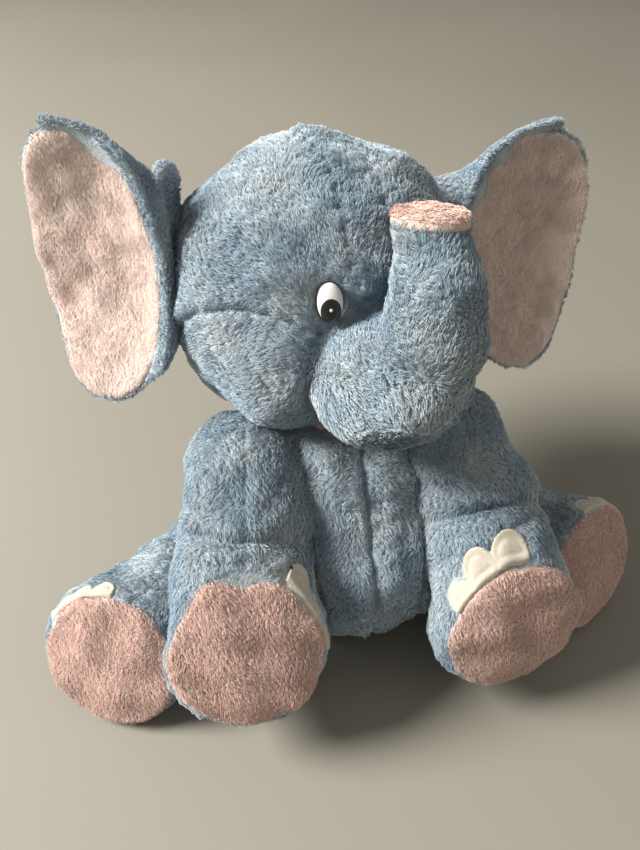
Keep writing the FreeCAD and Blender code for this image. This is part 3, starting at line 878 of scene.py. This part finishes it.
def trunk_field(points):
    seam = trunk_seam_distance(points)
    return trunk_shape(points) + BACKING_INSET + lumps(points, 21, 0.8) + stitched(points, seam, 22, 1.0)


def tip_field(points):
    seam = trunk_seam_distance(points)
    body = tip_shape(points) + BACKING_INSET + lumps(points, 21, 0.6) + stitched(points, seam, 22, 1.0)
    end = above(points, PAD_PLACE, TIP_OUT) + 0.8
    return smooth_max(body, end, 3.0)


def trunk_comb(points):
    """Brushed from the face out along the trunk and up its end."""
    rise = np.clip(above(points, TRUNK_BEND, HEAD_UP) / 20, 0, 1)[:, None]
    return rise * HEAD_UP + (1 - rise) * (HEAD_FACE - 0.4 * HEAD_UP)


def make_trunk():
    base = sewn_skin("trunk_cover", trunk_field, "blue_plush", "trunk", TRUNK_NODES)
    keep = times(clear_of(head_shape, tip_shape, margin=6.0), short_near(trunk_seam_distance, 1.8, 0.5))
    grow_pile(base, PILE, FACE_DENSITY, 201, trunk_comb, keep)
    tip = sewn_skin("trunk_tip_cover", tip_field, "blue_plush", "trunk_tip", TIP_NODES)

    def off_the_end(points):
        return np.clip((-1.2 - above(points, PAD_PLACE, TIP_OUT)) / 2.0, 0, 1)

    keep = times(clear_of(trunk_shape, margin=4.0), off_the_end, short_near(trunk_seam_distance, 1.8, 0.5))
    grow_pile(tip, PILE, FACE_DENSITY, 202, trunk_comb, keep)

    def end_pad(points):
        height, radial = round_axis(points, PAD_PLACE, TIP_OUT)
        crown = TIP_PAD_CROWN * np.clip(1 - (radial / TIP_PAD_RADIUS) ** 2, -1, 1)
        roof = height - crown + 0.4 * ripple(points, 9.0, 27)
        return smooth_max(smooth_max(roof, -height - 4.5, 1.0), tip_shape(points) + 1.0, 2.0)

    pad = sewn_skin("trunk_tip_end_pad", end_pad, "pink_plush", "trunk_tip", ["trunk_tip_pad"], 1.0, 14.0)
    facing = clear_of(lambda p: above(p, PAD_PLACE - TIP_OUT, TIP_OUT), margin=0.2)
    grow_pile(pad, 1.4, FACE_DENSITY, 203, brushed(HEAD_FACE), facing, wild=0.4)


# ---- torso ----
TORSO_LEAN = math.radians(26)
TORSO_AXIS = np.array((0, math.sin(TORSO_LEAN), math.cos(TORSO_LEAN)))
TORSO_FRONT = np.array((0, -math.cos(TORSO_LEAN), math.sin(TORSO_LEAN)))
TORSO_MIDDLE = np.array((0, 5.0, 59.0))
SEAT_RADIUS = 58.0
CHEST_RADIUS = 50.0
TORSO_NODES = (
    "torso_belly_right", "torso_belly_left", "torso_back_right", "torso_back_left", "torso_seat_panel",
    "torso_filling", "seat_pellet_bag",
)


def torso_shape(points):
    seat, chest = TORSO_MIDDLE - TORSO_AXIS * 10, TORSO_MIDDLE + TORSO_AXIS * 23
    shape = round_cone(points, seat, SEAT_RADIUS, chest, CHEST_RADIUS)
    return smooth_max(shape, off_table_level(points), 12.0)


def torso_seam_distance(points):
    """The belly's middle seam, its two side seams, and one seam down the back."""
    front = above(points, TORSO_MIDDLE, TORSO_FRONT)
    height = above(points, TORSO_MIDDLE, TORSO_AXIS)
    side = 27 + 3.0 * np.sin(height / 24)
    sides = np.where(front > 0, np.abs(np.abs(points[:, 0]) - side), NO_SEAM)
    return np.minimum(np.abs(points[:, 0]), sides)


def torso_field(points):
    seam = torso_seam_distance(points)
    return torso_shape(points) + BACKING_INSET + lumps(points, 31, 1.1) + stitched(points, seam, 32, 2.2)


def off_table(points):
    return np.clip(points[:, 2] / 5.0, 0, 1)


def make_torso():
    torso = sewn_skin("torso_cover", torso_field, "blue_plush", "torso", TORSO_NODES)
    others = [head_shape] + [limb_shape(name) for name in TOE_TURN]
    keep = times(clear_of(*others, margin=4.0), off_table, short_near(torso_seam_distance))
    grow_pile(torso, PILE, BODY_DENSITY, 301, brushed((0, -0.2, -1.0)), keep)


def make_neck():
    """The stuffed plug between the body and the head, hidden when the head is upright."""
    centre = middle("neck_filling")
    axis = axis_of("head_turn")

    def neck(points):
        height, radial = round_axis(points, centre, axis)
        plug = smooth_max(radial - NECK_RADIUS, np.abs(height) - NECK_HALF_HEIGHT, 5.0)
        return plug + 0.5 * ripple(points, 9.0, 41)

    sewn_skin(
        "neck_cover", neck, "blue_plush", "neck", ["neck_filling"], 1.6,
        around=[centre - 20, centre + 20],
    )


# ---- limbs ----
def limb_lie(name):
    """A limb's stations, the middle of its sole, and the sole's outward normal."""
    is_arm = name.startswith("arm")
    centre, _, _, normal = lie_of(name + "_sole")
    root = pivot(name + ("_raise" if is_arm else "_spread"))
    if normal @ (centre - root) < 0:
        normal = -normal
    bend = root + np.array(BEND_FROM_ROOT[name], float)
    start = root + np.array(SHOULDER_LIFT) if is_arm else root
    places = (start, bend, centre - normal * SOLE_DEPTH)
    return list(zip(places, ARM_RADII if is_arm else LEG_RADII)), centre, normal


LIMBS = {name: limb_lie(name) for name in TOE_TURN}


def limb_shape(name):
    stations = LIMBS[name][0]
    return lambda points: smooth_max(tube(points, stations, 16), off_table_level(points), 8.0)


def limb_folds(points, name):
    """Creases across the inside of the elbow or knee, and softer ones at the root."""
    _, bend, end = (place for place, _ in LIMBS[name][0])
    forward = unit(end - bend)
    top = across(Z_AXIS, forward)
    facing = np.clip((points - bend) @ top / 22, 0, 1)
    total = np.zeros(len(points))
    for shift, tilt, depth, width in ((-3, 0.10, 5.0, 4.2), (8, -0.25, 2.0, 3.2), (-13, 0.3, 2.2, 3.4)):
        normal = unit(forward + tilt * np.cross(forward, top))
        bent = above(points, bend + forward * shift, normal) + 1.2 * ripple(points, 26.0, 57)
        total += depth * facing * np.exp(-(bent / width) ** 2)
    return total


def limb_seam_distance(name):
    """The sleeve's two long seams, in the plane through its root and its sole."""
    stations, sole, _ = LIMBS[name]
    root = stations[0][0]
    sideways = unit(np.cross(Z_AXIS, sole - root))
    return lambda points: np.abs(above(points, root, sideways))


def limb_field(name, seed):
    shape = limb_shape(name)
    _, sole, normal = LIMBS[name]
    seam = limb_seam_distance(name)

    def field(points):
        sleeve = shape(points) + BACKING_INSET + lumps(points, seed, 0.9) + limb_folds(points, name)
        under = above(points, sole, normal)
        sleeve = sleeve + 1.6 * np.exp(-((under + 0.5) / 2.4) ** 2) + pucker(points, under, seed + 3)
        sleeve = sleeve + groove(seam(points), 0.7, 1.4)
        return smooth_max(sleeve, under + 0.2, 2.5)

    return field


def toe_frame(name):
    normal = LIMBS[name][2]
    upward = across(Z_AXIS, normal)
    return upward, np.cross(upward, normal)


def foot_radius(name):
    return LIMBS[name][0][-1][1]


def toe_map(points, name):
    """Places beside the sole: distance round the foot from the middle toe, and back from the sole."""
    _, sole, normal = LIMBS[name]
    upward, sideways = toe_frame(name)
    place = points - sole
    angle = np.arctan2(place @ sideways, place @ upward) - math.radians(TOE_TURN[name])
    angle = (angle + math.pi) % (2 * math.pi) - math.pi
    return angle * (foot_radius(name) - 1.0), -(place @ normal)


def toe_distance(points, name):
    """How far outside the three scalloped toes a place on the sleeve is."""
    round_foot, back = toe_map(points, name)
    pitch = TOE_SPREAD * foot_radius(name)
    nearest = np.full(len(points), NO_SEAM)
    for step in (-1, 0, 1):
        tall = TOE_RADIUS + (1.2 if step == 0 else 0.0)
        place = np.stack([(round_foot - step * pitch) / TOE_RADIUS, (back - 2.6) / tall], axis=1)
        nearest = smooth_min(nearest, (np.linalg.norm(place, axis=1) - 1) * TOE_RADIUS, 1.2)
    return np.maximum(nearest, 0.8 - back)


def toe_parting(points, name):
    """Distance from the two lines that part the three toes."""
    round_foot, _ = toe_map(points, name)
    return np.abs(np.abs(round_foot) - TOE_SPREAD * foot_radius(name) / 2)


def make_toes(name, seed):
    """Felt toes laid on the sleeve, with a groove of stitches just inside their edge."""
    shape = limb_shape(name)

    def layer(points):
        height = shape(points) + 0.9 + 0.25 * ripple(points, 12.0, seed + 5)
        edge = toe_distance(points, name)
        dent = groove(edge + 2.2, 0.45, 0.8) + groove(toe_parting(points, name), 0.5, 0.8)
        return smooth_max(np.abs(height + 0.5) - 1.3 + dent, edge, 0.6)

    sewn_skin(f"{name}_toe_felt", layer, "cream_felt", name, [f"{name}_toes"], 0.8, 5.0)


def make_sole(name, seed):
    shape = limb_shape(name)
    _, sole, normal = LIMBS[name]
    rim = math.sqrt(foot_radius(name) ** 2 - SOLE_DEPTH ** 2)

    def pad(points):
        height, radial = round_axis(points, sole, normal)
        crown = SOLE_PUFF * (1 - np.clip(radial / rim, 0, 1.2) ** 2.6)
        uneven = 0.6 * ripple(points, 24.0, seed + 8)
        roof = height - crown + uneven + 0.3 * pucker(points, radial - rim + 3, seed + 9)
        edge = shape(points - np.clip(height, 0, 9)[:, None] * normal) + 1.4
        return smooth_max(smooth_max(roof, -height - 2.0, 1.5), edge, 3.0)

    piece = sewn_skin(f"{name}_sole_pad", pad, "pink_plush", name, [f"{name}_sole"], GRID, 8.0)

    def facing(points):
        return off_table(points) * (above(points, sole, normal) > -0.6)

    comb = unit(across(np.array((0.25, 0.0, -1.0)), normal))
    grow_pile(piece, PAD_PILE, BODY_DENSITY, seed + 50, brushed(comb), facing, wild=0.4)


def make_limb(name, seed):
    nodes = [f"{name}_{part}" for part in ("outer_panel", "inner_panel", "filling")]
    stations, sole, normal = LIMBS[name]
    sleeve = sewn_skin(f"{name}_sleeve", limb_field(name, seed), "blue_plush", name, nodes)

    def keep(points):
        share = clear_of(torso_shape, head_shape, margin=6.0)(points) * off_table(points)
        share *= np.clip((toe_distance(points, name) - 0.2) / 2.5, 0, 1)
        share *= short_near(limb_seam_distance(name), 1.6, 0.6)(points)
        return share * np.clip((-above(points, sole, normal) - 0.1) / 1.6, 0, 1)

    comb = brushed(unit(sole - stations[0][0]) + np.array((0, 0, -0.35)))
    grow_pile(sleeve, PILE, BODY_DENSITY, seed + 40, comb, keep)
    make_sole(name, seed)
    make_toes(name, seed)


# ---- tail ----
def make_tail():
    low, high = corners_of("tail_cover")
    root = pivot("tail_wag")
    end = np.array((root[0] + 1, high[1] - 6.5, low[2] + 6.5))
    bend = (root + end) / 2 + np.array((0, 2, -3))

    def field(points):
        stuffed = tube(points, [(root, 5.0), (bend, 4.0), (end, 6.0)], 4)
        return stuffed + 1.0 + 0.3 * ripple(points, 8.0, 91)

    tail = sewn_skin("tail_sleeve", field, "blue_plush", "tail", ["tail_cover", "tail_filling"], 1.1, 4.0)
    grow_pile(tail, 3.4, SMALL_DENSITY, 901, brushed(unit(end - root)), off_table)


# ---- ears ----
class Ear:
    """A cupped oval: places across it (towards the head), up it, and out of its opening."""

    def __init__(self, side):
        self.side = side
        centre, long, _, thin = lie_of(f"ear_{side}_lining")
        opening = unit(thin if thin[1] < 0 else -thin)
        up = across(long if long[2] > 0 else -long, opening)
        inward = across(HEAD - centre, opening)
        inward = across(inward, up)
        self.half_width = EAR_HALF_WIDTH[side]
        self.opening = unit(opening + EAR_FACING[side] * inward)
        self.up = across(up + EAR_TWIST[side] * inward, self.opening)
        self.inward = across(across(inward, self.opening), self.up)
        bowl_depth = (self.half_width ** 2 + EAR_HALF_LENGTH ** 2) / 8 / EAR_BOWL_RADIUS
        self.centre = centre - self.opening * bowl_depth + self.inward * EAR_SHIFT
        self.root = pivot(f"ear_{side}_flap")

    def local(self, points):
        place = points - self.centre
        return place @ self.inward, place @ self.up, place @ self.opening

    def cup(self, across_ear, up_ear):
        """The bowl's height, with its rim beside the head curled forward."""
        bowl = (across_ear ** 2 + up_ear ** 2) / (2 * EAR_BOWL_RADIUS)
        curl = EAR_CURL[self.side] * np.clip((across_ear - 6) / 30, 0, 1.3) ** 2
        return bowl + curl * np.clip(1.2 - np.abs(up_ear - 8) / 80, 0, 1)

    def rim(self, across_ear, up_ear):
        """1 on the ear's outline, a full oval."""
        half = self.half_width * (1 + 0.04 * up_ear / EAR_HALF_LENGTH)
        full = np.abs(across_ear / half) ** EAR_FULLNESS + np.abs(up_ear / EAR_HALF_LENGTH) ** EAR_FULLNESS
        return full ** (1 / EAR_FULLNESS)

    def slab(self, points, front, back, outline):
        u, v, w = self.local(points)
        height = w - self.cup(u, v) + 0.9 * ripple(points, 32.0, 61) + 0.35 * ripple(points, 12.0, 62)
        rim = self.rim(u, v) / outline
        soft = np.sqrt(np.clip(1 - rim ** 6, 0, 1))
        roof = height - front * soft
        floor = -height - back * soft
        edge = (rim - 1) * self.half_width * 0.9
        return smooth_max(smooth_max(roof, floor, 0.8) * 0.85, edge, 2.5)

    def root_web(self, points):
        """The blue sheet from the head's side forward to the rim beside it, one line for each height."""
        u, v, w = self.local(points)
        narrowing = np.clip(1 - np.abs(v / EAR_HALF_LENGTH) ** EAR_FULLNESS, 0.02, 1) ** (1 / EAR_FULLNESS)
        rim_u = 0.93 * self.half_width * narrowing
        rim_w = self.cup(rim_u, v) - 2.4
        root_u, _, root_w = self.local(self.root[None])
        head_u, head_w = root_u[0] + 8.0, root_w[0] - 4.0
        run_u, run_w = head_u - rim_u, head_w - rim_w
        reach = (u - rim_u) * run_u + (w - rim_w) * run_w
        share = np.clip(reach / (run_u ** 2 + run_w ** 2), 0, 1)
        puff = 3.0 * np.sin(math.pi * share)
        away = np.hypot(u - rim_u - share * run_u, w - rim_w - share * run_w - puff)
        top = v - (EAR_HALF_LENGTH - 10 - 0.45 * (u - 10))
        bottom = -v - WEB_BELOW - 0.1 * u
        sheet = away - WEB_HALF_THICKNESS + 0.7 * ripple(points, 14.0, 66) * share
        return smooth_max(smooth_max(sheet, top, 5.0), bottom, 5.0)

    def back_field(self, points):
        cup = self.slab(points, 0.4, 4.2, 1.0)
        return smooth_max(smooth_min(cup, self.root_web(points), 14.0), -self.slab_front(points), 1.0)

    def slab_front(self, points):
        """Below zero in front of the cup, where the root must not poke through."""
        u, v, w = self.local(points)
        return np.where(self.rim(u, v) < 1.1, self.cup(u, v) + 0.6 - w, 5.0)

    def lining_field(self, points):
        return self.slab(points, 3.2, 2.0, 0.97)


def make_ear(side, seed):
    ear = Ear(side)
    body = f"ear_{side}"
    back_nodes = [f"ear_{side}_outer", f"ear_{side}_wadding"]
    around = corners_of(*back_nodes, f"ear_{side}_lining")
    back = sewn_skin(f"ear_{side}_back", ear.back_field, "blue_plush", body, back_nodes, GRID, 14.0, around)

    def behind(points):
        u, v, w = ear.local(points)
        height = w - ear.cup(u, v)
        covered = (ear.rim(u, v) < 0.97) & (height > -0.6)
        return np.where(covered, 0.0, 1.0) * (head_shape(points) > -3)

    def outward(points):
        u, v, _ = ear.local(points)
        return -u[:, None] / 40 * ear.inward + v[:, None] / 80 * ear.up - 0.3 * ear.up

    grow_pile(back, PILE * 0.8, 3.0, seed, outward, behind)
    lining = sewn_skin(
        f"ear_{side}_front_lining", ear.lining_field, "pink_velour", body, [f"ear_{side}_lining"],
        GRID, 14.0, around,
    )

    def in_front(points):
        u, v, w = ear.local(points)
        return (w - ear.cup(u, v) > 0.4).astype(float)

    grow_pile(
        lining, VELOUR, 3.6, seed + 7, brushed(-ear.up), in_front,
        lean=0.95, tuft=4.5, thick=0.1, wild=0.25,
    )


# ---- stage ----
CAMERA_PLACE = np.array((-51.7, -199.6, 329.7))
CAMERA_AZIMUTH = math.radians(-10)
CAMERA_ELEVATION = math.radians(45)
LONG_SIDE_LENS = 27.1  # millimetres, for a sensor whose long side is 36


def aimed(name, data, place, forward):
    thing = linked(name, data)
    thing.location = place
    thing.rotation_mode = "QUATERNION"
    thing.rotation_quaternion = forward.to_track_quat("-Z", "Y")
    return thing


def make_camera():
    data = bpy.data.cameras.new("view")
    data.sensor_width = 36.0
    data.sensor_fit = "AUTO"
    data.lens = LONG_SIDE_LENS
    data.clip_start = 0.01
    forward = -Vector((
        math.sin(CAMERA_AZIMUTH) * math.cos(CAMERA_ELEVATION),
        -math.cos(CAMERA_AZIMUTH) * math.cos(CAMERA_ELEVATION),
        math.sin(CAMERA_ELEVATION),
    ))
    bpy.context.scene.camera = aimed("view", data, Vector(CAMERA_PLACE * MM), forward)


def make_lamp(name, place, target, size, power, colour):
    data = bpy.data.lights.new(name, "AREA")
    data.shape = "DISK"
    data.size = size
    data.energy = power
    data.color = colour
    aimed(name, data, Vector(place), Vector(target) - Vector(place))


def make_floor():
    half = 3.0
    nodes = Nodes("pale_floor")
    tone = nodes.ramp(nodes.noise(2.0, 2.0), linear(128, 126, 118), linear(134, 132, 124))
    material = nodes.paint(tone, Roughness=0.7)
    points = np.array([(-half, -half, 0), (half, -half, 0), (half, half, 0), (-half, half, 0)]) / MM
    floor = as_mesh("floor", points, [(0, 1, 2, 3)], material)


def make_world():
    world = bpy.data.worlds.new("studio")
    world.use_nodes = True
    background = world.node_tree.nodes["Background"]
    background.inputs["Color"].default_value = linear(236, 228, 216)
    background.inputs["Strength"].default_value = 0.40
    bpy.context.scene.world = world
    bpy.context.scene.view_settings.view_transform = "Standard"


def make_stage():
    make_floor()
    make_world()
    make_camera()
    make_lamp("window", (-1.8, 0.3, 1.5), (0, 0, 0.12), 0.9, 142.0, (1.0, 0.95, 0.88))
    make_lamp("room", (1.6, -1.0, 1.3), (0, 0, 0.1), 1.5, 5.0, (1.0, 0.9, 0.78))


# ---- the whole toy ----
def carry_over(names, material):
    for name in names:
        slots = frame["nodes"][name].data.materials
        slots.clear()
        slots.append(material)


make_torso()
make_neck()
make_head()
make_mouth()
make_trunk()
for number, limb in enumerate(TOE_TURN):
    make_limb(limb, 400 + 60 * number)
for number, side in enumerate(SIDES):
    make_eye(side)
    make_ear(side, 700 + 40 * number)
make_tail()
carry_over(["eye_washer_right", "eye_washer_left"], CLEAR)
make_stage()
